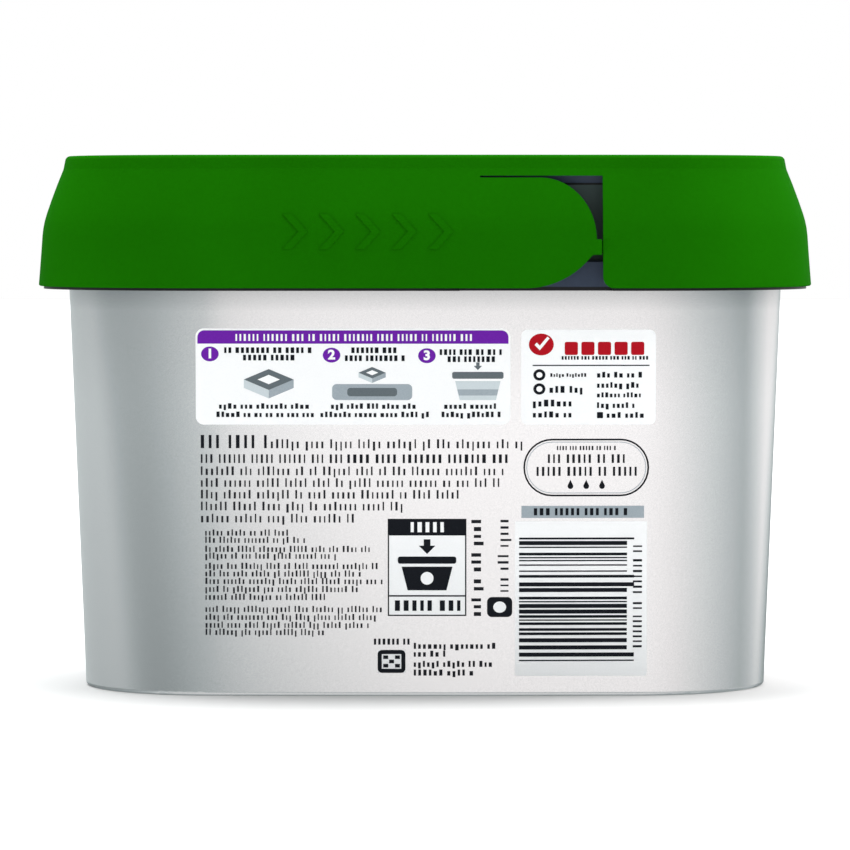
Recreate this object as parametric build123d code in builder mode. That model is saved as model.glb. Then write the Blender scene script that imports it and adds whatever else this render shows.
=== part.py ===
"""Dishwasher tablet tub: moulded tub, wrap label, lid with two tear tabs, and the tablets inside.

Millimetres. Origin at the middle of the base, +Z up, +X along the long side, the side with the printed panels
towards -Y. The tub and the lid are each one wall section swept round one plan outline, so the wall, the flange, the
label and the lid keep their fit when the plan changes.
"""

import os
from math import cos, floor, radians, sin, tan

from build123d import *

# Plan of the tub wall at the height of the flange's lower edge
body_length = 194.1
body_depth = 120.0
corner_radius = 40.0
side_bow = 3.0
end_bow = 1.5

# Tub wall, floor and foot
flange_height = 108.0
wall_draft = 2.3
tub_wall = 1.3
floor_wall = 1.7
floor_radius = 4.0
foot_radius = 1.2
foot_width = 4.0
floor_overlap = 4.0
base_recess = 1.2

# Neck, rim bead and the flange with its hanging apron
neck_height = 34.8
neck_set = 0.5
neck_wall = 1.1
rim_bead = 0.5
rim_bead_height = 6.6
flange_reach = 6.95
flange_wall = 1.2
apron_height = 7.6

# Printed film round the wall
label_film = 0.3
label_gap = 0.1
label_headroom = 0.9
label_wrap = 80.0
recess_wrap = 82.0

# Lid
lid_wall = 1.1
lid_clearance = 0.3
lid_reveal = 0.7
skirt_draft = 4.4
knuckle_height = 16.5
knuckle_radius = 24.0
shoulder_crown = 0.2
step_height = 3.6
step_draft = 11.0
top_radius = 1.4
panel_inset = 9.0
panel_drop = 0.8
panel_ramp = 1.2
panel_overlap = 6.0
seal_depth = 5.0
seal_wall = 1.0

# Tear tab, measured from the middle of the long side and up from the lid's lower edge
tab_start = 14.5
tab_end = 46.9
slit_drop = 2.2
slit_width = 0.5
slit_rounding = 0.22
tab_tip_in = 1.7
tab_top_run = 14.7
tab_low_start = 26.5
tab_low_in = 1.1
nib_low = 8.8
nib_high = 12.9
nib_gap = 0.35
nib_web = 0.4
nib_fillet = 1.2
panel_corner = 3.0

# Finger pocket in the apron behind each tab
pocket_lead = 5.4
pocket_tail = 2.6
pocket_radius = 2.5

# Tablets
tablet_size = 39.0
tablet_height = 18.0
tablet_corner = 8.0
tablet_bevel = 3.5
tablet_seam = 1.4
tablet_gap = 0.3
tablet_space_x = 0.9
tablet_space_y = 4.4
tablet_yaw = 4.0
tablet_headroom = 27.8

# How far cutting tools run past what they cut
overrun = 1.0
reach_through = 30.0

# Derived places, as offsets from the plan outline (positive outwards) and heights
draft = radians(wall_draft)
rim_height = flange_height + neck_height
wall_total = tub_wall + label_film + label_gap
neck_inner = -wall_total - neck_set
neck_outer = neck_inner + neck_wall
rim_outer = neck_outer + rim_bead
shelf_top = flange_height + apron_height
shelf_low = shelf_top - flange_wall
floor_top = base_recess + floor_wall
lid_edge = flange_height + lid_reveal
lid_top = rim_height + lid_wall
lid_height = lid_top - lid_edge
slit_height = lid_height - step_height - slit_drop
seal_outer = neck_inner - lid_clearance
label_top = shelf_low - label_headroom
apron_slope = tan(radians(skirt_draft))
rim_out = rim_outer + lid_clearance + lid_wall
skirt_out = flange_reach + lid_clearance + lid_wall - lid_reveal * apron_slope


def wall_at(height):
    """Offset of the tub's outer face, label included, at a height."""
    return (height - flange_height) * tan(draft)


foot_out = wall_at(0)
foot_centre = (foot_out - foot_radius * (1 - sin(draft)) / cos(draft), foot_radius)
foot_in = foot_centre[0] - foot_width
floor_lap = foot_in - floor_overlap


def along_foot(inset, degrees):
    """Point of the foot rounding, inset from the outer face, an angle below the horizontal."""
    reach = foot_radius - inset
    turn = radians(degrees)
    return (foot_centre[0] + reach * cos(turn), foot_centre[1] - reach * sin(turn))


def label_strip(outer, inner, top, wrap):
    """Face between two insets of the tub's outer face, from a height down round the foot rounding."""
    with BuildSketch() as strip:
        with BuildLine():
            Line((wall_at(top) - outer / cos(draft), top), along_foot(outer, wall_draft))
            CenterArc(foot_centre, foot_radius - outer, -wrap, wrap - wall_draft)
            Line(along_foot(outer, wrap), along_foot(inner, wrap))
            CenterArc(foot_centre, foot_radius - inner, -wrap, wrap - wall_draft)
            Line(along_foot(inner, wall_draft), (wall_at(top) - inner / cos(draft), top))
            Line((wall_at(top) - inner / cos(draft), top), (wall_at(top) - outer / cos(draft), top))
        make_face()
    return strip.sketch


def nearest(sketch, point):
    """Corner of a sketch nearest to a point."""
    return sketch.vertices().sort_by_distance(point)[0]


# Plan outline: four crowned sides with rounded corners
half_x = body_length / 2 - end_bow
half_y = body_depth / 2 - side_bow
with BuildSketch() as plan:
    with BuildLine():
        ThreePointArc((-half_x, -half_y), (0, -body_depth / 2), (half_x, -half_y))
        ThreePointArc((half_x, -half_y), (body_length / 2, 0), (half_x, half_y))
        ThreePointArc((half_x, half_y), (0, body_depth / 2), (-half_x, half_y))
        ThreePointArc((-half_x, half_y), (-body_length / 2, 0), (-half_x, -half_y))
    make_face()
    fillet(plan.vertices(), corner_radius)
outline = plan.face().outer_wire()
outward = (outline % 0).cross(Vector(0, 0, 1))
if outward.dot(outline @ 0) < 0:
    outward = -outward
section = Plane(origin=outline @ 0, x_dir=outward, z_dir=outward.cross(Vector(0, 0, 1)))

# Tub: the whole wall section with foot, flange, apron, neck and bead, swept round the plan, and the floor
with BuildPart() as tub:
    with BuildSketch(section) as tub_section:
        with BuildLine():
            Polyline(
                (floor_lap, base_recess),
                (foot_in - base_recess, base_recess),
                (foot_in, 0),
                (foot_out, 0),
                (wall_at(shelf_low), shelf_low),
                (flange_reach - apron_height * apron_slope - flange_wall, shelf_low),
                (flange_reach - flange_wall, flange_height),
                (flange_reach, flange_height),
                (flange_reach - apron_height * apron_slope, shelf_top),
                (neck_outer, shelf_top),
                (neck_outer, rim_height - rim_bead_height),
                (rim_outer, rim_height - rim_bead_height + rim_bead),
                (rim_outer, rim_height - rim_bead),
                (rim_outer - rim_bead, rim_height),
                (neck_inner, rim_height),
                (neck_inner, flange_height),
                (wall_at(floor_top) - wall_total, floor_top),
                (floor_lap, floor_top),
                close=True,
            )
        make_face()
        fillet(nearest(tub_section, (foot_out, 0)), foot_radius)
        fillet(nearest(tub_section, (wall_at(floor_top) - wall_total, floor_top)), floor_radius)
        fillet(nearest(tub_section, (flange_reach - apron_height * apron_slope, shelf_top)), flange_wall / 2)
        fillet(nearest(tub_section, (neck_outer, shelf_top)), flange_wall / 2)
        add(
            label_strip(-overrun, label_film + label_gap, label_top + label_gap, recess_wrap),
            mode=Mode.SUBTRACT,
        )
    sweep(path=outline)
    with BuildSketch(Plane.XY.offset(base_recess)):
        add(plan.sketch)
        offset(amount=floor_lap + overrun)
    extrude(amount=floor_wall)
    # Finger pockets: a block between wall and apron, hollowed from outside
    pocket_mid = (tab_start - pocket_lead + tab_end + pocket_tail) / 2
    pocket_length = tab_end + pocket_tail - tab_start + pocket_lead
    pocket_back = body_depth / 2 + wall_at(shelf_low) + lid_clearance + flange_wall
    for turn in (0, 180):
        with BuildSketch(Plane.XY.offset(flange_height).rotated((0, 0, turn))):
            add(plan.sketch)
            offset(amount=flange_reach - apron_height * apron_slope - flange_wall / 2)
            with Locations((pocket_mid, -pocket_back + flange_wall - body_depth / 2)):
                Rectangle(pocket_length + 2 * flange_wall, body_depth, mode=Mode.INTERSECT)
        extrude(amount=apron_height)
        with BuildSketch(Plane.XY.offset(flange_height).rotated((0, 0, turn))) as pocket:
            with Locations((pocket_mid, -pocket_back - body_depth / 2)):
                Rectangle(pocket_length, body_depth)
            fillet(pocket.vertices().group_by(Axis.Y)[-1], pocket_radius)
        extrude(amount=apron_height, mode=Mode.SUBTRACT)

# Label: the printed film in its shallow recess
with BuildPart() as wrap_label:
    with BuildSketch(section):
        add(label_strip(0, label_film, label_top, label_wrap))
    sweep(path=outline)

# Lid: one wall section swept round the same plan, the top panel, the seal ring and the tear tabs
with BuildPart() as lid:
    knuckle = (skirt_out - knuckle_height * apron_slope, lid_edge + knuckle_height)
    shoulder = (rim_out + step_height * tan(radians(step_draft)), lid_top - step_height)
    panel_edge = rim_out - panel_inset
    panel_foot = panel_edge - panel_ramp
    panel_lap = panel_foot - panel_overlap
    below = lid_edge - reach_through
    skirt_below = skirt_out + reach_through * apron_slope
    with BuildSketch(section) as lid_section:
        with BuildLine():
            Line((skirt_below, below), knuckle)
            SagittaArc(knuckle, shoulder, -shoulder_crown)
            Polyline(
                shoulder,
                (rim_out, lid_top),
                (panel_edge, lid_top),
                (panel_foot, lid_top - panel_drop),
                (panel_lap, lid_top - panel_drop),
                (panel_lap, below),
                (skirt_below, below),
            )
        make_face()
        fillet(nearest(lid_section, knuckle), knuckle_radius)
        fillet(nearest(lid_section, shoulder), step_height / 2)
        fillet(nearest(lid_section, (rim_out, lid_top)), top_radius)
        fillet(nearest(lid_section, (panel_edge, lid_top)), panel_drop)
        offset(amount=-lid_wall, mode=Mode.SUBTRACT)
        with Locations((panel_lap, below)):
            Rectangle(4 * lid_wall, rim_height, align=(Align.CENTER, Align.MIN), mode=Mode.SUBTRACT)
            Rectangle(body_depth, reach_through, align=(Align.MIN, Align.MIN), mode=Mode.SUBTRACT)
        fillet(nearest(lid_section, (skirt_out, lid_edge)), lid_wall / 2)
        with Locations((seal_outer, rim_height - seal_depth)):
            Rectangle(seal_wall, seal_depth + lid_wall / 2, align=(Align.MAX, Align.MIN))
    sweep(path=outline)
    with BuildSketch(Plane.XY.offset(lid_top - panel_drop - lid_wall)):
        add(plan.sketch)
        offset(amount=panel_foot - panel_overlap / 3)
    extrude(amount=lid_wall)

    # Tear tabs: the slit over the tab and the gap round its end, cut through one long side and then the other
    tab_tip = tab_end - tab_tip_in
    tab_top = slit_height - slit_width / 2
    low_x = tab_tip - tab_low_in
    tab_low_radius = ((low_x - tab_low_start) ** 2 + nib_low**2) / (2 * nib_low)
    side_radius = (half_x**2 + side_bow**2) / (2 * side_bow)
    nib_mid = (nib_low + nib_high) / 2
    nib_inner = body_depth / 2 - tab_end**2 / (2 * side_radius) + skirt_out - nib_mid * apron_slope - lid_wall
    for way in (1, -1):
        face_plane = Plane(
            origin=(0, -way * (body_depth / 2 + neck_outer), lid_edge), x_dir=(way, 0, 0), z_dir=(0, -way, 0)
        )
        with BuildSketch(face_plane) as tab_gap:
            with Locations((tab_start, -overrun)):
                Rectangle(tab_end - tab_start, slit_height + slit_width / 2 + overrun, align=(Align.MIN, Align.MIN))
            with BuildLine():
                Line((tab_start - overrun, tab_top), (tab_tip - tab_top_run, tab_top))
                EllipticalCenterArc(
                    (tab_tip - tab_top_run, nib_high), tab_top_run, tab_top - nib_high, start_angle=0, arc_size=90
                )
                Polyline(
                    (tab_tip, nib_high),
                    (tab_end - nib_gap, nib_high),
                    (tab_end - nib_gap, nib_low),
                    (low_x, nib_low),
                )
                RadiusArc((low_x, nib_low), (tab_low_start, 0), tab_low_radius)
                Polyline(
                    (tab_low_start, 0),
                    (tab_low_start, -2 * overrun),
                    (tab_start - overrun, -2 * overrun),
                    (tab_start - overrun, tab_top),
                )
            make_face(mode=Mode.SUBTRACT)
            fillet(nearest(tab_gap, (low_x, nib_low)), nib_fillet)
            with Locations((tab_end - nib_gap / 2, nib_mid)):
                Rectangle(2 * nib_gap, nib_high - nib_low - 2 * nib_web, mode=Mode.SUBTRACT)
            fillet(tab_gap.vertices().group_by(Axis.X)[0], slit_rounding)
            with Locations((tab_end, -overrun)):
                Rectangle(panel_corner, panel_corner + overrun, align=(Align.MIN, Align.MIN))
            with Locations((tab_end + panel_corner, panel_corner)):
                Circle(panel_corner, mode=Mode.SUBTRACT)
        extrude(amount=reach_through, mode=Mode.SUBTRACT)
        # Groove that leaves a thin web between the nib and the skirt
        with BuildSketch(face_plane.offset(nib_inner + nib_web - body_depth / 2 - neck_outer)):
            with Locations((tab_end - nib_gap / 2, nib_mid)):
                Rectangle(nib_gap, nib_high - nib_low)
        extrude(amount=reach_through, mode=Mode.SUBTRACT)

# Tablets: one bevelled tablet with its film seam, laid in turned rows and layers up to the fill level
with BuildPart() as tablet:
    seam_low = (tablet_height - tablet_seam) / 2
    for height, inset in (
        (0, tablet_bevel),
        (seam_low, 0),
        (seam_low + tablet_seam, 0),
        (tablet_height, tablet_bevel),
    ):
        with BuildSketch(Plane.XY.offset(height)) as slice_outline:
            Rectangle(tablet_size - 2 * inset, tablet_size - 2 * inset)
            chamfer(slice_outline.vertices(), tablet_corner - inset / 2)
    loft(ruled=True)

tablet_span = tablet_size * (cos(radians(tablet_yaw)) + sin(radians(tablet_yaw)))
tablet_pitch_x = tablet_span + tablet_space_x
tablet_pitch_y = tablet_span + tablet_space_y
columns = floor((body_length + 2 * wall_at(floor_top) - 2 * wall_total) / tablet_pitch_x)
rows = floor((body_depth + 2 * wall_at(floor_top) - 2 * wall_total) / tablet_pitch_y)
layers = floor((rim_height - tablet_headroom - floor_top) / (tablet_height + tablet_gap))
places = [
    Location(
        (
            (column - (columns - 1) / 2) * tablet_pitch_x,
            (row - (rows - 1) / 2) * tablet_pitch_y,
            floor_top + tablet_gap / 3 + layer * (tablet_height + tablet_gap),
        ),
        (0, 0, tablet_yaw * (-1) ** (column + row + layer)),
    )
    for layer in range(layers)
    for row in range(rows)
    for column in range(columns)
]
with BuildPart() as tablets:
    with Locations(*places):
        add(tablet.part)

os.makedirs("parts", exist_ok=True)
for name, made in (("tub", tub), ("wrap_label", wrap_label), ("lid", lid), ("tablets", tablets)):
    made.part.label = name
    export_step(made.part, f"parts/{name}.step")
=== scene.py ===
"""Dishwasher tablet tub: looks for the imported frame. Metres in the scene, label layout in millimetres."""

import math

import bmesh
import bpy
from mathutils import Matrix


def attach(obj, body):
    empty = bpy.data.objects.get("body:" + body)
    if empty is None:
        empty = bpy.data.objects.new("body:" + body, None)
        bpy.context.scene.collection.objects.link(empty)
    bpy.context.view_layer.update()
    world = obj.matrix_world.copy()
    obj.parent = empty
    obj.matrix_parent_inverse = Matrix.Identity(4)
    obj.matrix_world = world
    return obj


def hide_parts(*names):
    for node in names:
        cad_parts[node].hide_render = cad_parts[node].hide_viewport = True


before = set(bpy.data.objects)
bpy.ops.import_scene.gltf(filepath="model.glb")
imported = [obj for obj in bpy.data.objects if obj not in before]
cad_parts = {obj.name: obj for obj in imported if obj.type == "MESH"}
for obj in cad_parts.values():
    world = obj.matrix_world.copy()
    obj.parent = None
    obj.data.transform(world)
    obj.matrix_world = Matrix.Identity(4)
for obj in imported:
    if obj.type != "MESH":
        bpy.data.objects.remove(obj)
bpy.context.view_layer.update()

MM = 0.001

# Plan of the wall: arc centres of the crowned sides and the corners, millimetres from the middle
FRONT_CENTRE = 1463.1
END_CENTRE = 986.7
CORNER_CENTRE = (56.88, 18.91)
CORNER_EASE = math.radians(6.0)
WALL_DRAFT = math.radians(2.3)

# Half of the blend at the edge of a tone band, and the spacing of points along printed fields, millimetres
BAND_BLEND = 0.1
STATION = 1.25

# Flat artwork starts this far in front of the middle, metres
CAST_FROM = -0.2

# Blocks of print, as shares of a tall block's height
SHORT_BLOCK = 0.74
TAIL = 0.26
BLOCK_GAP = 0.36
WORD_GAP = 0.4


class Wire:
    """One socket of a node tree; arithmetic between wires makes Math nodes."""

    def __init__(self, tree, socket=None):
        self.tree = tree
        self.socket = socket

    def node(self, kind, settings=None, inputs=None, out=0):
        """Any node: its settings first, then its sockets by name or number, then the wanted output."""
        made = self.tree.nodes.new(kind)
        for name, value in (settings or {}).items():
            setattr(made, name, value)
        for name, value in (inputs or {}).items():
            self.feed(made.inputs[name], value)
        return Wire(self.tree, made.outputs[out])

    def also(self, out):
        """Another output of the node that this wire comes from."""
        return Wire(self.tree, self.socket.node.outputs[out])

    def feed(self, socket, value):
        """Link a wire to a socket, or set its constant."""
        if isinstance(value, Wire):
            self.tree.links.new(value.socket, socket)
        else:
            socket.default_value = value

    def math(self, operation, *values):
        return self.node("ShaderNodeMath", {"operation": operation}, dict(enumerate(values)))

    def vector(self, operation, *values, out=0):
        return self.node("ShaderNodeVectorMath", {"operation": operation}, dict(enumerate(values)), out)

    def mix(self, first, second):
        """Colour from first to second as this wire goes from 0 to 1."""
        return self.node("ShaderNodeMix", {"data_type": "RGBA"}, {0: self, 6: first, 7: second}, 2)

    def ramp(self, low, high):
        """This wire's run from low to high, as 0 to 1."""
        return self.node("ShaderNodeMapRange", {}, {"Value": self, "From Min": low, "From Max": high})

    def height(self):
        """Z of this wire's vector."""
        return self.node("ShaderNodeSeparateXYZ", {}, {"Vector": self}, "Z")

    def noise(self, scale, detail=2.0):
        return self.node("ShaderNodeTexNoise", {}, {"Vector": self, "Scale": scale, "Detail": detail})

    def __add__(self, other):
        return self.math("ADD", self, other)

    def __radd__(self, other):
        return self.math("ADD", other, self)

    def __sub__(self, other):
        return self.math("SUBTRACT", self, other)

    def __rsub__(self, other):
        return self.math("SUBTRACT", other, self)

    def __mul__(self, other):
        return self.math("MULTIPLY", self, other)

    def __rmul__(self, other):
        return self.math("MULTIPLY", other, self)

    def __pow__(self, other):
        return self.math("POWER", self, other)


def new_material(name):
    """Material, its shader's sockets and a wire with the object coordinates."""
    made = bpy.data.materials.new(name)
    made.use_nodes = True
    tree = made.node_tree
    shader = tree.nodes["Principled BSDF"]
    place = Wire(tree).node("ShaderNodeTexCoord", out="Object")
    return made, shader.inputs, place


def grain(place, scale, strength, distance):
    """Fine moulded grain as a bump normal."""
    return place.node(
        "ShaderNodeBump",
        {},
        {"Height": place.noise(scale), "Strength": strength, "Distance": distance},
    )


def banded(place, tone, painted_bands):
    """Tone with bands of painted shade and painted light over it.

    Each reaches half its height up and down from its middle. It starts at an inner reach off the corner
    centres of the plan and goes on outwards.
    """
    height = place.height()
    above_all = 1.0
    centre = (CORNER_CENTRE[0] * MM, CORNER_CENTRE[1] * MM, above_all)
    spread = place.vector("SUBTRACT", place.vector("ABSOLUTE", place), centre)
    spread = place.vector("MAXIMUM", spread, (0.0, 0.0, 0.0))
    reach = place.vector("LENGTH", spread, out="Value")
    for middle, half, inner, colour in painted_bands:
        offset = height - middle * MM
        within = offset.math("ABSOLUTE", offset).ramp((half + BAND_BLEND) * MM, (half - BAND_BLEND) * MM)
        beyond = reach.ramp(inner * MM, (inner + BAND_BLEND) * MM)
        tone = (within * beyond).mix(tone, colour)
    return tone


def moulded(name, deep, pale, roughness, gloss, painted_bands=()):
    """Moulded plastic: slight mottling, uneven gloss, a fine grain and bands of painted shade and painted
    light.
    """
    made, sockets, place = new_material(name)
    cloud = place.noise(24.0, 3.0)
    fine = place.noise(900.0)
    tone = (cloud * 0.7 + fine * 0.3).ramp(0.3, 0.7).mix(deep, pale)
    if painted_bands:
        tone = banded(place, tone, painted_bands)
    place.feed(sockets["Base Color"], tone)
    place.feed(sockets["Roughness"], roughness - 0.04 + cloud * 0.05 + fine * 0.03)
    place.feed(sockets["Normal"], grain(place, 2200.0, 0.12, 0.00004))
    sockets["IOR"].default_value = gloss
    return made


def ink(name, deep, pale, roughness=0.42):
    """Printed ink: a flat field with a faint screen of density and gloss."""
    made, sockets, place = new_material(name)
    screen = place.noise(3000.0)
    place.feed(sockets["Base Color"], screen.ramp(0.3, 0.7).mix(deep, pale))
    place.feed(sockets["Roughness"], roughness - 0.03 + screen * 0.06)
    sockets["Specular IOR Level"].default_value = 0.1
    return made


def pearl_film(name):
    """Silver film with a pearl ink, a painted sheen that is paler above mid-height and painted shade from
    the lid at its upper edge.

    Fine flakes show in its tone, gloss and metal share.
    """
    made, sockets, place = new_material(name)
    flake = place.noise(2600.0, 1.0)
    cloud = place.noise(9.0, 2.0)
    tone = (flake * 0.6 + cloud * 0.4).ramp(0.3, 0.7)
    silver = tone.mix((0.66, 0.655, 0.66, 1), (0.71, 0.70, 0.705, 1))
    painted_sheen_tone = tone.mix((0.76, 0.754, 0.76, 1), (0.816, 0.805, 0.811, 1))
    height = place.height()
    # Painted sheen: the film is paler between 70 and 78 mm up and darker towards the foot and the top
    painted_sheen = height.ramp(0.0, 70.0 * MM) * height.ramp(112.0 * MM, 78.0 * MM)
    # Painted shade: the film darkens from 102.5 mm up to 108 mm, where the lid's apron shades it
    painted_lid_shade = height.ramp(102.5 * MM, 108.0 * MM)
    place.feed(sockets["Base Color"], painted_lid_shade.mix(painted_sheen.mix(silver, painted_sheen_tone), (0.50, 0.505, 0.51, 1)))
    place.feed(sockets["Metallic"], 0.86 + flake * 0.1)
    place.feed(sockets["Roughness"], 0.11 + cloud * 0.03 + flake * 0.03)
    return made


def powder(name):
    """Pressed white powder with blue specks under a glossy film."""
    made, sockets, place = new_material(name)
    speck = place.node("ShaderNodeTexVoronoi", {}, {"Vector": place, "Scale": 620.0}, "Distance")
    cloud = place.noise(160.0, 3.0)
    tone = cloud.ramp(0.35, 0.65).mix((0.70, 0.74, 0.78, 1), (0.82, 0.84, 0.86, 1))
    chosen = place.noise(420.0, 0.0).ramp(0.6, 0.64) * (1.0 - speck.ramp(0.28, 0.4))
    place.feed(sockets["Base Color"], chosen.mix(tone, (0.05, 0.24, 0.60, 1)))
    place.feed(sockets["Roughness"], 0.5 + cloud * 0.2)
    place.feed(sockets["Normal"], grain(place, 700.0, 0.3, 0.0001))
    sockets["Coat Weight"].default_value = 0.6
    sockets["Coat Roughness"].default_value = 0.18
    return made


def gel_film(name):
    """Coloured gel under a clear film."""
    made, sockets, place = new_material(name)
    cloud = place.noise(90.0, 2.0)
    tone = cloud.ramp(0.35, 0.65).mix((0.01, 0.16, 0.42, 1), (0.02, 0.24, 0.52, 1))
    place.feed(sockets["Base Color"], tone)
    place.feed(sockets["Roughness"], 0.16 + cloud * 0.1)
    sockets["Coat Weight"].default_value = 1.0
    return made


GREEN = moulded("lid_green", (0.0066, 0.114, 0.0004, 1), (0.0077, 0.133, 0.0008, 1), 0.5, 1.02)
# Painted shadow: a near-black band round the apron's lower edge, under the lid
PAINTED_APRON_SHADOW = (108.2, 0.8, 41.2, (0.008, 0.008, 0.01, 1))
# Painted light: a greener tone on the neck, for green light from the lid falling on it
PAINTED_NECK_LIGHT = (126.0, 10.1, 0.0, (0.040, 0.063, 0.060, 1))
# Painted shadow: a near-black line under the rim bead
PAINTED_RIM_SHADOW = (136.2, 0.25, 0.0, (0.004, 0.004, 0.004, 1))
SLATE = moulded(
    "tub_slate",
    (0.030, 0.043, 0.074, 1),
    (0.038, 0.053, 0.088, 1),
    0.42,
    1.3,
    (PAINTED_APRON_SHADOW, PAINTED_NECK_LIGHT, PAINTED_RIM_SHADOW),
)
FILM = pearl_film("label_film")
WHITE_INK = ink("ink_white", (0.92, 0.92, 0.93, 1), (0.95, 0.95, 0.96, 1))
VIOLET_INK = ink("ink_violet", (0.138, 0.009, 0.35, 1), (0.152, 0.013, 0.38, 1))
RED_INK = ink("ink_red", (0.41, 0.001, 0.008, 1), (0.45, 0.002, 0.012, 1))
DARK_INK = ink("ink_dark", (0.004, 0.005, 0.009, 1), (0.007, 0.009, 0.014, 1))
TEXT_INK = ink("ink_text", (0.008, 0.009, 0.013, 1), (0.013, 0.014, 0.019, 1))
STEEL_INK = ink("ink_steel", (0.32, 0.37, 0.41, 1), (0.36, 0.41, 0.45, 1))
MID_INK = ink("ink_mid", (0.11, 0.135, 0.15, 1), (0.13, 0.155, 0.17, 1))
PALE_INK = ink("ink_pale", (0.56, 0.62, 0.65, 1), (0.60, 0.66, 0.69, 1))
POWDER = powder("tablet_powder")
GEL = gel_film("tablet_gel")


def smooth_copy(node, name, material, cuts=(), angle=28.0):
    """Merged, smooth-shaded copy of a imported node, in the node's own place.

    Each cut adds edges at one place on one axis, so that shading follows the form there.
    """
    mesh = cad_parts[node].data.copy()
    mesh.name = name
    work = bmesh.new()
    work.from_mesh(mesh)
    bmesh.ops.remove_doubles(work, verts=work.verts, dist=1e-6)
    for axis, place in cuts:
        everything = work.verts[:] + work.edges[:] + work.faces[:]
        across = [float(axis == index) for index in range(3)]
        point = [place * MM * part for part in across]
        bmesh.ops.bisect_plane(work, geom=everything, plane_co=point, plane_no=across)
    work.to_mesh(mesh)
    work.free()
    mesh.attributes.new("sharp_face", "BOOLEAN", "FACE")
    mesh.shade_smooth()
    mesh.set_sharp_from_angle(angle=math.radians(angle))
    mesh.materials.clear()
    mesh.materials.append(material)
    piece = bpy.data.objects.new(name, mesh)
    bpy.context.scene.collection.objects.link(piece)
    return piece


def ease(first, second, width):
    """Greater of two angles, rounded over where they meet; a negative width gives the lesser."""
    return (first + second + math.copysign(math.hypot(first - second, width), width)) / 2


def wall_normal(x, y):
    """Outward normal of the drafted wall: crowned sides that ease into the round corners."""
    front = math.atan2(abs(x), abs(y) + FRONT_CENTRE)
    corner = math.atan2(abs(x) - CORNER_CENTRE[0], abs(y) - CORNER_CENTRE[1])
    end = math.atan2(abs(x) + END_CENTRE, abs(y))
    turn = ease(ease(front, corner, CORNER_EASE), end, -CORNER_EASE)
    level = math.cos(WALL_DRAFT)
    return (
        math.copysign(math.sin(turn) * level, x),
        math.copysign(math.cos(turn) * level, y),
        -math.sin(WALL_DRAFT),
    )


def shade_wall(piece):
    """Give the outer wall of the film its drawn normals, so that long facets don't show in its gloss."""
    mesh = piece.data
    steepest = 0.2
    facing = 0.9
    normals = [(0.0, 0.0, 0.0)] * len(mesh.loops)
    for polygon in mesh.polygons:
        if abs(polygon.normal.z) > steepest:
            continue
        for index in polygon.loop_indices:
            point = mesh.vertices[mesh.loops[index].vertex_index].co / MM
            normal = wall_normal(point.x, point.y)
            if polygon.normal.dot(normal) > facing:
                normals[index] = normal
    mesh.normals_split_custom_set(normals)


class Sheet:
    """Flat artwork of one ink: x across the wall and z up, in millimetres."""

    def __init__(self):
        self.points = []
        self.faces = []

    def face(self, *corners):
        """One polygon, its corners counter-clockwise."""
        start = len(self.points)
        self.points.extend(corners)
        self.faces.append(tuple(range(start, start + len(corners))))

    def strip(self, lower, upper):
        """Band of quads between two lines of as many points."""
        for index in range(len(lower) - 1):
            self.face(lower[index], lower[index + 1], upper[index + 1], upper[index])

    def plate(self, left, right, low, high, top=0.0, foot=None):
        """Rectangle with rounded corners; foot is the radius of the lower ones where it differs."""
        foot = top if foot is None else foot
        across = stations(left, right, max(top, foot))

        def drop(x, radius):
            inset = max(left + radius - x, x - right + radius, 0.0)
            return radius - math.sqrt(max(radius**2 - inset**2, 0.0))

        self.strip([(x, low + drop(x, foot)) for x in across], [(x, high - drop(x, top)) for x in across])

    def board(self, low, low_left, low_right, high, high_left, high_right):
        """Four-cornered field with level edges, in columns so that it follows the wall."""
        parts = [step / 8 for step in range(9)]
        self.strip(
            [(low_left + part * (low_right - low_left), low) for part in parts],
            [(high_left + part * (high_right - high_left), high) for part in parts],
        )

    def oval(self, x, z, wide, tall):
        """Ellipse with two half-widths."""
        turns = [math.pi * step / 24 for step in range(25)]
        self.strip(
            [(x - wide * math.cos(turn), z - tall * math.sin(turn)) for turn in turns],
            [(x - wide * math.cos(turn), z + tall * math.sin(turn)) for turn in turns],
        )

    def outline(self, left, right, low, high, radius, width):
        """Line of a width inside a rounded rectangle's edge."""
        outer = rounded(left, right, low, high, radius)
        inner = rounded(left + width, right - width, low + width, high - width, radius - width)
        self.strip(outer + outer[:1], inner + inner[:1])

    def row(self, left, right, base, tall, seed, weight=0.21, even=False, upright=False):
        """Line of print as plain blocks in groups, along x or upwards along z, filling its length.

        An even row has blocks of one height. Weight is a block's width as a share of its height.
        """
        blocks = []
        at = 0.0
        to_come = 2 + int(6 * chance(seed, 0.9))
        while at < right - left:
            pick = chance(seed, len(blocks) + 0.6)
            wide = weight * tall * (0.75 + 0.5 * chance(seed, len(blocks) + 0.3))
            low = -TAIL * tall if pick > 0.9 and not even else 0.0
            high = tall if pick < 0.35 or even else SHORT_BLOCK * tall
            blocks.append((at, at + wide, low, high))
            at += wide + BLOCK_GAP * tall
            to_come -= 1
            if to_come == 0:
                to_come = 2 + int(6 * chance(seed, len(blocks)))
                at += WORD_GAP * tall
        fit = (right - left) / blocks[-1][1]
        for start, end, low, high in blocks:
            corners = ((start, low), (end, low), (end, high), (start, high))
            corners = [(left + fit * u, base - v if upright else base + v) for u, v in corners]
            self.face(*((v, u) if upright else (u, v) for u, v in corners))


def chance(seed, step):
    """Repeatable number from 0 to 1."""
    return math.sin(seed * 12.9898 + step * 78.233) * 43758.5453 % 1.0


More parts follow.
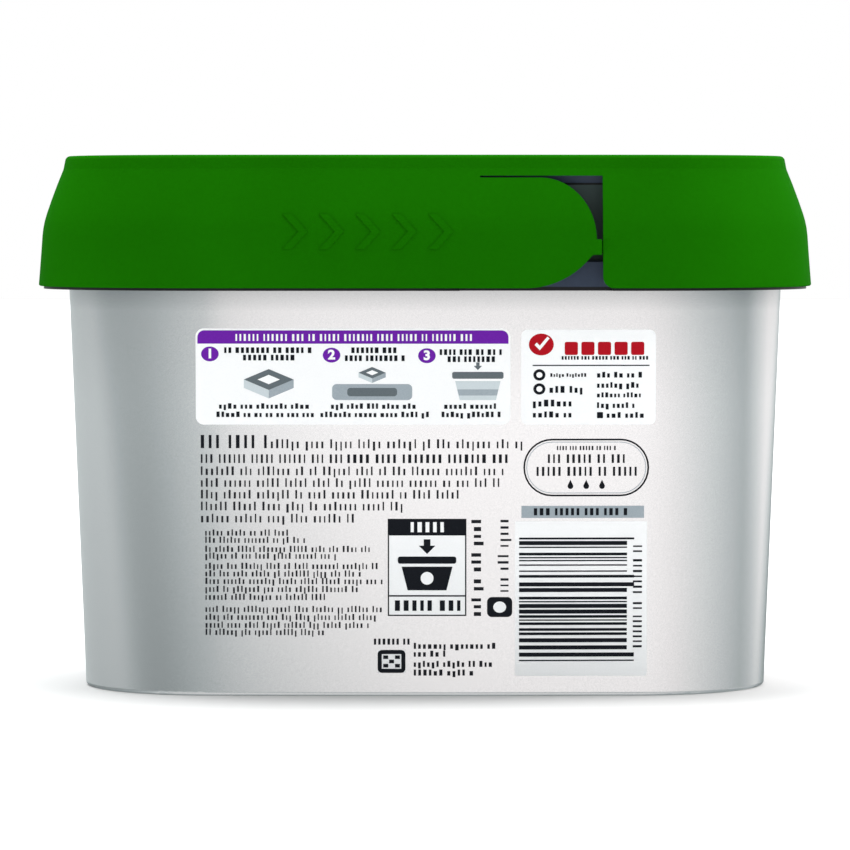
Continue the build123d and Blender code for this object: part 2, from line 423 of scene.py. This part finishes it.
def stations(left, right, reach):
    """Places across a field, close together where its ends are round."""
    bend = [reach * (1 - math.cos(math.radians(turn))) for turn in range(0, 90, 15)] if reach else []
    run = right - left - 2 * reach
    count = max(1, math.ceil(run / STATION))
    middle = [left + reach + run * index / count for index in range(count + 1)]
    return [left + part for part in bend] + middle + [right - part for part in reversed(bend)]


def rounded(left, right, low, high, radius):
    """Points counter-clockwise round a rectangle with rounded corners."""
    centres = (
        (right - radius, high - radius),
        (left + radius, high - radius),
        (left + radius, low + radius),
        (right - radius, low + radius),
    )
    points = []
    for quarter, (x, z) in enumerate(centres):
        for step in range(9):
            turn = math.radians(90 * quarter + 90 * step / 8)
            points.append((x + radius * math.cos(turn), z + radius * math.sin(turn)))
    return points


def group(name, inputs):
    """Geometry Nodes tree with named inputs; returns it and a wire for its input geometry."""
    tree = bpy.data.node_groups.new(name, "GeometryNodeTree")
    tree.interface.new_socket("Geometry", in_out="INPUT", socket_type="NodeSocketGeometry")
    for label, kind in inputs:
        tree.interface.new_socket(label, in_out="INPUT", socket_type=kind)
    tree.interface.new_socket("Geometry", in_out="OUTPUT", socket_type="NodeSocketGeometry")
    return tree, Wire(tree).node("NodeGroupInput", out="Geometry")


def end_group(tree, geometry, material):
    """Close a tree: real geometry with its material."""
    real = geometry.node("GeometryNodeRealizeInstances", {}, {"Geometry": geometry})
    dressed = real.node("GeometryNodeSetMaterial", {}, {"Geometry": real, "Material": material})
    dressed.feed(tree.nodes.new("NodeGroupOutput").inputs["Geometry"], dressed)


def lay_group(name, raised):
    """Drop flat artwork along Y onto a wall and lift it off; raised artwork also gets a thickness."""
    tree, given = group(
        name,
        (
            ("Wall", "NodeSocketObject"),
            ("Lift", "NodeSocketFloat"),
            ("Relief", "NodeSocketFloat"),
            ("Ink", "NodeSocketMaterial"),
        ),
    )
    wall = given.node("GeometryNodeObjectInfo", {}, {"Object": given.also("Wall")}, "Geometry")
    start = given.node("GeometryNodeInputPosition")
    hit = given.node(
        "GeometryNodeRaycast",
        {},
        {"Target Geometry": wall, "Source Position": start, "Ray Direction": (0, 1, 0), "Ray Length": 1.0},
        "Hit Position",
    )
    lift = given.node(
        "ShaderNodeVectorMath",
        {"operation": "SCALE"},
        {0: hit.also("Hit Normal"), "Scale": given.also("Lift")},
    )
    laid = given.node(
        "GeometryNodeSetPosition", {}, {"Geometry": given, "Position": hit.vector("ADD", hit, lift)}
    )
    if raised:
        laid = given.node(
            "GeometryNodeExtrudeMesh",
            {},
            {"Mesh": laid, "Offset Scale": given.also("Relief"), "Individual": False},
        )
    end_group(tree, laid, given.also("Ink"))
    return tree


def grow(name, mesh, tree, values, body):
    """Piece made by a Geometry Nodes tree from a start mesh."""
    piece = bpy.data.objects.new(name, mesh)
    bpy.context.scene.collection.objects.link(piece)
    modifier = piece.modifiers.new(name, "NODES")
    modifier.node_group = tree
    for item in tree.interface.items_tree:
        if item.in_out == "INPUT" and item.name in values:
            modifier[item.identifier] = values[item.name]
    made = bpy.data.meshes.new_from_object(piece.evaluated_get(bpy.context.evaluated_depsgraph_get()))
    piece.modifiers.clear()
    piece.data = made
    made.name = name
    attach(piece, body)
    return piece


def lay(sheet, name, wall, lift, material, body="tub", relief=0.0):
    """Lay a sheet on a wall, a lift in millimetres off it."""
    flat = bpy.data.meshes.new(name + "_flat")
    flat.from_pydata([(x * MM, CAST_FROM, z * MM) for x, z in sheet.points], [], sheet.faces)
    values = {"Wall": wall, "Lift": lift * MM, "Relief": relief * MM, "Ink": material}
    return grow(name, flat, RAISED if relief else LAID, values, body)


def stack_group():
    """One tablet on every start point, turned by the point's own turn."""
    tree, given = group("stack_tablets", (("Tablet", "NodeSocketObject"), ("Ink", "NodeSocketMaterial")))
    tablet = given.node("GeometryNodeObjectInfo", {}, {"Object": given.also("Tablet")}, "Geometry")
    turn = given.node(
        "GeometryNodeInputNamedAttribute",
        {"data_type": "FLOAT"},
        {"Name": "turn"},
        "Attribute",
    )
    spin = given.node("ShaderNodeCombineXYZ", {}, {"Z": turn})
    stack = given.node(
        "GeometryNodeInstanceOnPoints",
        {},
        {"Points": given, "Instance": tablet, "Rotation": spin},
        "Instances",
    )
    end_group(tree, stack, given.also("Ink"))
    return tree


LAID = lay_group("lay_on_wall", False)
RAISED = lay_group("raise_on_wall", True)
STACKED = stack_group()

# Printed side: millimetres across from the middle and up from the base
white, violet, red, dark, text, steel, mid, pale, reverse = (Sheet() for _ in range(9))

# Steps panel: header, three numbered steps with heading, pictogram and caption
white.plate(-60.8, 22.6, 72.4, 97.94, 2.1)
violet.plate(-60.3, 22.1, 93.91, 97.44, 1.8, 0.0)
reverse.row(-50.2, 12.4, 94.66, 1.8, 1.0, 0.27, True)
DISCS = ((-57.0, 91.18), (-24.75, 90.88), (0.5, 90.73))
for disc_x, disc_z in DISCS:
    violet.oval(disc_x, disc_z, 2.33, 1.97)
for seed, left, right, base in (
    (2.1, -53.2, -30.1, 91.43),
    (2.2, -48.2, -34.6, 89.47),
    (2.3, -19.5, -7.6, 91.43),
    (2.4, -21.2, -5.4, 89.32),
    (2.5, 3.9, 20.3, 90.93),
    (2.6, 6.0, 18.5, 89.06),
):
    dark.row(left, right, base, 1.5, seed, 0.52, True)
for seed, left, right, base in (
    (3.1, -54.6, -30.8, 76.64),
    (3.2, -55.3, -29.5, 74.43),
    (3.3, -24.9, -2.5, 76.64),
    (3.4, -27.7, 1.0, 74.43),
    (3.5, 5.1, 18.8, 76.64),
    (3.6, 4.4, 20.0, 74.43),
):
    text.row(left, right, base, 1.45, seed, 0.5)


def tablet_sign(x, z, size):
    """Pictogram of a square tablet seen from a corner."""
    deep = 0.42 * size
    tall = 0.34 * size
    left = [step / 4 - 1 for step in range(5)]
    right = [step / 4 for step in range(5)]
    whole = left + right[1:]

    def edge(run, rise, drop=0.0, scale=1.0):
        return [(x + scale * size * part, z + scale * rise * (1 - abs(part)) - drop) for part in run]

    mid.strip(edge(whole, -deep), edge(whole, deep))
    pale.strip(edge(left, -deep, tall), edge(left, -deep))
    steel.strip(edge(right, -deep, tall), edge(right, -deep))
    reverse.strip(edge(whole, -deep, scale=0.45), edge(whole, deep, scale=0.45))


def arrow_sign(sheet, x, top, tip, wide):
    """Plain arrow pointing down."""
    neck = tip + wide
    sheet.face((x - wide, neck), (x, tip), (x + wide, neck))
    sheet.face((x - 0.4 * wide, neck), (x + 0.4 * wide, neck), (x + 0.4 * wide, top), (x - 0.4 * wide, top))


tablet_sign(-41.4, 84.41, 6.6)
steel.plate(-24.6, -3.4, 78.97, 83.21, 1.2)
mid.plate(-20.6, -7.4, 79.97, 82.2, 0.8)
tablet_sign(-14.0, 86.24, 3.6)
pale.plate(-23.6, -21.6, 79.97, 82.2, 0.6)
pale.plate(-6.4, -4.4, 79.97, 82.2, 0.6)
pale.board(78.97, 9.2, 18.8, 84.01, 8.0, 20.0)
steel.board(80.18, 8.95, 19.05, 81.8, 8.55, 19.45)
mid.plate(7.2, 20.8, 84.62, 86.44, 0.5)
arrow_sign(mid, 14.0, 88.96, 86.94, 1.1)

# Second panel: red heading over a rule and two columns
white.plate(25.5, 61.2, 72.4, 97.64, 1.7)
red.oval(30.8, 93.7, 3.3, 2.9)
reverse.face((29.0, 93.6), (30.4, 92.18), (33.0, 95.32), (32.4, 95.82), (30.4, 93.4), (29.6, 94.21))
for left in (37.0, 41.4, 45.8, 50.2, 54.6):
    red.plate(left, left + 3.5, 90.9, 94.4, 0.5)
dark.row(36.2, 59.1, 89.67, 0.95, 4.1, 0.5, True)
dark.plate(28.5, 59.5, 88.0, 88.3)
for seed, left, right, base, tall in (
    (5.1, 33.2, 42.7, 85.12, 0.95),
    (5.2, 33.0, 41.7, 80.88, 1.8),
    (5.3, 28.6, 38.8, 77.25, 1.8),
    (5.4, 28.6, 38.8, 74.33, 1.6),
    (5.5, 45.6, 57.5, 84.92, 1.5),
    (5.6, 45.6, 56.6, 82.2, 1.5),
    (5.7, 45.6, 57.2, 79.67, 1.3),
    (5.8, 45.6, 55.5, 76.84, 1.5),
    (5.9, 48.2, 58.0, 74.22, 1.5),
):
    dark.row(left, right, base, tall, seed, 0.48)
for ring_z in (85.63, 81.9):
    dark.oval(30.3, ring_z, 1.6, 1.5)
    reverse.oval(30.3, ring_z, 0.8, 0.75)
dark.plate(45.6, 47.2, 74.12, 75.74, 0.2)

# Running print
dark.row(-59.5, -42.0, 66.14, 3.5, 6.1, 0.24, True)
text.row(-40.9, 25.8, 66.14, 2.4, 6.2)
dark.row(-59.5, -22.0, 62.21, 2.3, 6.25, 0.21, True)
dark.row(-20.6, 21.9, 62.21, 2.3, 6.3, 0.32, True)
for seed, right, base in (
    (6.4, 20.8, 58.98),
    (6.5, 19.7, 55.85),
    (6.6, 8.9, 52.73),
    (6.7, -6.0, 49.59),
    (6.8, -18.9, 46.36),
):
    text.row(-59.5, right, base, 2.3, seed)
for seed, right, base in (
    (7.1, -36.4, 42.83),
    (7.2, -31.9, 40.91),
    (7.3, -14.7, 38.49),
    (7.4, -23.7, 36.67),
    (7.5, -12.6, 33.94),
    (7.6, -17.1, 31.93),
    (7.7, -11.3, 29.91),
    (7.8, -17.9, 27.79),
    (7.9, -26.6, 25.67),
    (8.1, -11.5, 22.44),
    (8.2, -13.1, 20.32),
    (8.3, -15.0, 18.2),
    (8.4, -26.9, 16.28),
):
    text.row(-58.4, right, base, 1.65, seed, 0.26)

# Framed sign with its upright lines
white.plate(-9.9, 11.0, 21.43, 47.37)
dark.plate(-9.9, -9.55, 21.43, 47.37)
dark.plate(10.65, 11.0, 21.43, 47.37)
dark.plate(-9.9, 11.0, 21.43, 21.78)
dark.plate(-9.9, 11.0, 26.6, 27.0)
dark.plate(-9.9, 11.0, 42.93, 47.37)
dark.row(-8.0, 9.4, 22.8, 2.8, 8.5, 0.4, True)
reverse.row(-3.8, 5.0, 43.8, 2.7, 8.6, 0.4, True)
dark.board(28.3, -4.6, 5.7, 34.6, -6.2, 7.3)
dark.plate(-7.2, 8.3, 35.4, 37.3, 0.6)
arrow_sign(dark, 0.55, 41.9, 38.0, 2.2)
reverse.oval(0.55, 31.5, 1.7, 1.7)
text.row(21.43, 47.07, 14.9, 2.6, 8.7, 0.32, False, True)
text.row(27.89, 47.07, 22.2, 2.9, 8.8, 0.18, False, True)
dark.plate(16.5, 23.2, 21.13, 26.47, 1.3)
reverse.oval(19.85, 23.8, 1.7, 1.5)

# Small print at the foot
dark.row(-13.6, -4.1, 13.76, 1.6, 9.1, 0.42, True)
white.plate(-12.6, -5.2, 6.19, 12.34)
dark.outline(-12.6, -5.2, 6.19, 12.34, 1.2, 1.1)
for index in range(9):
    if index % 2 == 0:
        square_x = -11.1 + 1.56 * (index % 3)
        square_z = 7.65 + 1.14 * (index // 3)
        dark.plate(square_x, square_x + 1.3, square_z, square_z + 0.95)
for seed, right, base in ((9.2, 18.7, 12.64), (9.3, 5.4, 10.53), (9.4, 17.8, 7.8), (9.5, 12.8, 5.47)):
    text.row(-3.0, right, base, 1.6, seed, 0.46)

# Badge, grey bar and bar pattern
dark.outline(26.1, 59.5, 53.33, 68.67, 7.6, 0.45)
steel.outline(26.9, 58.7, 54.13, 67.86, 6.8, 0.18)
dark.row(32.6, 53.0, 62.21, 2.3, 9.6, 0.24, True)
dark.row(29.6, 56.2, 58.78, 2.4, 9.7, 0.24, True)
text.row(35.0, 50.6, 65.64, 1.1, 9.8, 0.36, True)
for drop_x in (38.6, 42.8, 47.0):
    dark.oval(drop_x, 56.05, 0.75, 0.75)
    dark.face((drop_x - 0.7, 56.31), (drop_x + 0.7, 56.31), (drop_x, 57.76))
steel.plate(25.6, 58.2, 47.57, 50.8)
dark.row(28.9, 53.7, 48.28, 1.9, 9.9, 0.42, True)
white.plate(23.9, 59.0, 5.37, 46.67)
BAR_LEFT = 25.0
BAR_RIGHT = 53.7
LONG_BAR_RIGHT = 55.6
BAR_MODULE = 0.36
BAR_GAP = 0.42
LONG_BARS = (0, 1, 14, 15)
LONG_FROM = 40.81
PATTERN_TOP = 42.34
LAST_START = 42.02
bar_low = 9.32
count = 0
while bar_low < LAST_START:
    bar = BAR_MODULE * (1 + int(2.7 * chance(11.3, count)))
    end = LONG_BAR_RIGHT if count in LONG_BARS or bar_low > LONG_FROM else BAR_RIGHT
    dark.plate(BAR_LEFT, end, bar_low, min(bar_low + bar, PATTERN_TOP))
    bar_low += bar + BAR_GAP * (1 + int(2.8 * chance(17.7, count)))
    count += 1
for seed, low, high in ((12.1, 12.95, 25.06), (12.2, 27.49, 40.2)):
    dark.row(low, high, 57.7, 2.4, seed, 0.2, True, True)


# Stage, light and camera
def floor_material():
    """Plain pale floor."""
    made, sockets, place = new_material("stage_floor")
    place.feed(sockets["Base Color"], place.noise(3.0).mix((0.62, 0.62, 0.62, 1), (0.63, 0.63, 0.63, 1)))
    sockets["Roughness"].default_value = 0.9
    sockets["Specular IOR Level"].default_value = 0.1
    return made


bpy.ops.mesh.primitive_plane_add(size=12.0)
floor = bpy.context.object
floor.name = "floor"
floor.data.materials.append(floor_material())
floor.visible_glossy = False

world = bpy.data.worlds.new("studio")
bpy.context.scene.world = world
world.use_nodes = True
sky = Wire(world.node_tree)
way = sky.node("ShaderNodeTexCoord", out="Generated")


def lobe(direction, tightness):
    """Soft lobe of light round a direction."""
    length = math.sqrt(sum(part * part for part in direction))
    unit = tuple(part / length for part in direction)
    facing = way.vector("DOT_PRODUCT", way, unit, out="Value")
    return facing.math("MAXIMUM", facing, 0.0) ** tightness


# Bearing in degrees from the front, and height from -1 to 1; the film mirrors the room at about film_height
height = way.height()
across = height.also("X")
bearing = across.math("ARCTAN2", across, 0.0 - height.also("Y")) * math.degrees(1.0)
level = (1.0 - height * height) ** 6.0
film_height = -0.1


def panel(left, right, left_blur, right_blur, left_lean=0.0, right_lean=0.0):
    """Upright light panel between two bearings in degrees; its soft edges may lean with height."""
    drop = height - film_height
    rise = (bearing + drop * left_lean).ramp(left - left_blur, left + left_blur)
    fall = (bearing + drop * right_lean).ramp(right + right_blur, right - right_blur)
    return rise * fall * level


cards = (
    panel(-8.0, 50.0, 3.5, 58.0, 50.0, 370.0) * 1.03
    + panel(-36.0, -8.0, 30.0, 3.5, 420.0, 50.0) * 0.5
    + panel(-170.0, -92.5, 8.0, 9.0, 320.0, 320.0) * 0.3
    + panel(119.0, 147.0, 18.0, 12.0, 110.0, -200.0) * 0.68
    + lobe((0.0, -0.3, -1.0), 3.0) * 0.6
    + lobe((0.9, -0.1, 1.0), 8.0) * 3.1
    + lobe((0.95, 0.35, 0.6), 20.0) * 4.0
    + lobe((-0.9, -0.1, 0.7), 8.0) * 0.9
)
room = 0.33
seen = sky.node("ShaderNodeLightPath", out="Is Camera Ray")
tint = cards.ramp(0.1, 0.75).mix((0.87, 1.0, 1.01, 1), (1.0, 0.985, 0.98, 1))
background = world.node_tree.nodes["Background"]
sky.feed(background.inputs["Color"], seen.mix(tint, (1, 1, 1, 1)))
sky.feed(background.inputs["Strength"], (cards + room) * (1.0 - seen) + seen)

overhead = bpy.data.objects.new("overhead", bpy.data.lights.new("overhead", "SUN"))
bpy.context.scene.collection.objects.link(overhead)
overhead.data.energy = 4.6
overhead.data.angle = math.radians(42)
overhead.rotation_euler = (math.radians(-14), math.radians(-7), 0)

eye_height = 128.5 * MM
eye_distance = 1388.0 * MM
eye_dip = 2.419
camera = bpy.data.objects.new("camera", bpy.data.cameras.new("camera"))
bpy.context.scene.collection.objects.link(camera)
camera.location = (0.0, -eye_distance, eye_height)
camera.rotation_euler = (math.radians(90 - eye_dip), 0, 0)
camera.data.sensor_fit = "HORIZONTAL"
camera.data.lens = 212.6
camera.data.clip_end = 40.0
bpy.context.scene.camera = camera
bpy.context.scene.view_settings.view_transform = "Standard"

# Moulded pieces and the film, with the axis and place of each cut in millimetres
X, Y, Z = range(3)
CUT_STEP = 3.0
FRONT_CUTS_FROM = 36.0
END_CUTS_FROM = 3.0
lid_cuts = [(Z, 109.6), (Z, 110.4)]
tub_cuts = [(Z, 117.0), (Z, 135.6)]
film_cuts = [(Z, 1.5), (Z, 2.5), (Z, 6.0)]
for axis, start, count in ((X, FRONT_CUTS_FROM, 9), (Y, END_CUTS_FROM, 6)):
    for step in range(count):
        film_cuts += [(axis, start + CUT_STEP * step), (axis, -start - CUT_STEP * step)]
shells = {}
for node, name, material, body, slot, cuts in (
    ("lid", "lid_shell", GREEN, "lid", "lid", lid_cuts),
    ("tub", "tub_shell", SLATE, "tub", "tub", tub_cuts),
    ("wrap_label", "label_film", FILM, "tub", "label", film_cuts),
):
    shells[node] = smooth_copy(node, name, material, cuts)
    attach(shells[node], body)
    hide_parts(node)
shade_wall(shells["wrap_label"])

# Print on the film
for sheet, name, lift, material in (
    (white, "print_white", 0.06, WHITE_INK),
    (violet, "print_violet", 0.08, VIOLET_INK),
    (red, "print_red", 0.08, RED_INK),
    (pale, "print_pale", 0.08, PALE_INK),
    (steel, "print_steel", 0.09, STEEL_INK),
    (mid, "print_mid", 0.1, MID_INK),
    (dark, "print_dark", 0.11, DARK_INK),
    (text, "print_text", 0.11, TEXT_INK),
    (reverse, "print_reverse", 0.13, WHITE_INK),
):
    lay(sheet, name, shells["wrap_label"], lift, material)

# Step numbers in the violet discs
NUMBER_SIZE = 3.4
NUMBER_WEIGHT = 0.14
NUMBER_STRETCH = 1.1
numbers = Sheet()
for number, (disc_x, disc_z) in enumerate(DISCS, start=1):
    curve = bpy.data.curves.new("step_number", "FONT")
    curve.body = str(number)
    curve.size = NUMBER_SIZE
    curve.offset = NUMBER_WEIGHT
    curve.align_x = "CENTER"
    curve.align_y = "CENTER"
    sign = bpy.data.objects.new("step_number", curve)
    bpy.context.scene.collection.objects.link(sign)
    drawn = bpy.data.meshes.new_from_object(sign.evaluated_get(bpy.context.evaluated_depsgraph_get()))
    for polygon in drawn.polygons:
        corners = (drawn.vertices[index].co for index in polygon.vertices)
        numbers.face(*((disc_x + NUMBER_STRETCH * corner.x, disc_z + corner.y) for corner in corners))
    bpy.data.objects.remove(sign)
lay(numbers, "print_numbers", shells["wrap_label"], 0.13, WHITE_INK)

# Row of raised chevrons on the front of the lid, pointing to the tear tab
CHEVRONS_FROM = -37.5
CHEVRON_PITCH = 9.6
CHEVRON_HEIGHT = 123.6
CHEVRON_HALF = 4.6
CHEVRON_DEEP = 4.2
CHEVRON_WIDE = 2.4
chevrons = Sheet()
run = [step / 6 for step in range(7)]
for index in range(5):
    left = CHEVRONS_FROM + CHEVRON_PITCH * index
    for side in (1, -1):
        near = [
            (left + CHEVRON_DEEP * part, CHEVRON_HEIGHT + side * CHEVRON_HALF * (1 - part)) for part in run
        ]
        far = [(x + CHEVRON_WIDE, z) for x, z in near]
        if side > 0:
            chevrons.strip(near, far)
        else:
            chevrons.strip(far, near)
lay(chevrons, "lid_chevrons", shells["lid"], -0.05, GREEN, "lid", 0.3)


# Tablets: a pouch with its seam and a gel pocket on top, stacked as the solids are
POUCH_HALF = 19.5
POUCH_CORNER = 8.0
POUCH_EASE = 14
GEL_HALF = (12.5, 7.0)
GEL_EASE = 3


def pouch_reach(turn, inset):
    """From the middle to the edge of a square with cut corners, its edges eased."""
    half = POUCH_HALF - inset
    corner = POUCH_CORNER - inset / 2
    across = abs(math.cos(turn))
    along = abs(math.sin(turn))
    walls = (across / half, along / half, (across + along) / (2 * half - corner))
    return sum(wall**POUCH_EASE for wall in walls) ** (-1 / POUCH_EASE)


def gel_reach(turn, inset):
    """From the middle to the edge of a rounded oblong."""
    walls = (abs(math.cos(turn)) / (GEL_HALF[0] - inset), abs(math.sin(turn)) / (GEL_HALF[1] - inset))
    return sum(wall**GEL_EASE for wall in walls) ** (-1 / GEL_EASE)


def stack_rings(name, levels, reach):
    """Closed form of rings: each level has a height and an inset."""
    sides = 64
    points = []
    for rise, inset in levels:
        for side in range(sides):
            turn = 2 * math.pi * side / sides
            radius = reach(turn, inset)
            points.append((radius * math.cos(turn) * MM, radius * math.sin(turn) * MM, rise * MM))
    faces = [tuple(reversed(range(sides))), tuple(range(len(points) - sides, len(points)))]
    for level in range(len(levels) - 1):
        for side in range(sides):
            after = (side + 1) % sides
            low = level * sides
            faces.append((low + side, low + after, low + sides + after, low + sides + side))
    mesh = bpy.data.meshes.new(name)
    mesh.from_pydata(points, [], faces)
    mesh.shade_smooth()
    mesh.set_sharp_from_angle(angle=math.radians(50))
    made = bpy.data.objects.new(name, mesh)
    bpy.context.scene.collection.objects.link(made)
    return made


pouch = stack_rings(
    "pouch",
    (
        (0.0, 5.2),
        (0.3, 4.2),
        (1.2, 3.2),
        (4.6, 1.75),
        (7.6, 0.9),
        (8.3, 0.6),
        (8.45, 0.05),
        (9.5, 0.05),
        (9.7, 0.6),
        (11.5, 1.1),
        (15.0, 2.45),
        (16.6, 3.4),
        (17.5, 4.9),
        (17.75, 7.0),
        (17.8, 12.0),
    ),
    pouch_reach,
)
gel = stack_rings("gel", ((17.2, 0.0), (17.8, 0.1), (17.9, 0.6), (17.96, 1.6), (17.98, 3.2)), gel_reach)
tablet_pitch = (42.525, 46.025, 18.3)
tablet_counts = (4, 2, 6)
tablet_base = 3.0
tablet_turn = math.radians(4.0)
spots = []
turns = []
for layer in range(tablet_counts[2]):
    for row in range(tablet_counts[1]):
        for column in range(tablet_counts[0]):
            across = (column - (tablet_counts[0] - 1) / 2) * tablet_pitch[0]
            along = (row - (tablet_counts[1] - 1) / 2) * tablet_pitch[1]
            spots.append((across * MM, along * MM, (tablet_base + layer * tablet_pitch[2]) * MM))
            turns.append(tablet_turn * (-1) ** (column + row + layer))
for name, source, material in (("tablet_pouches", pouch, POWDER), ("tablet_gels", gel, GEL)):
    points = bpy.data.meshes.new(name + "_points")
    points.from_pydata(spots, [], [])
    points.attributes.new("turn", "FLOAT", "POINT").data.foreach_set("value", turns)
    piece = grow(name, points, STACKED, {"Tablet": source, "Ink": material}, "tub")
    if source is pouch:
        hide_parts("tablets")
    bpy.data.objects.remove(source)
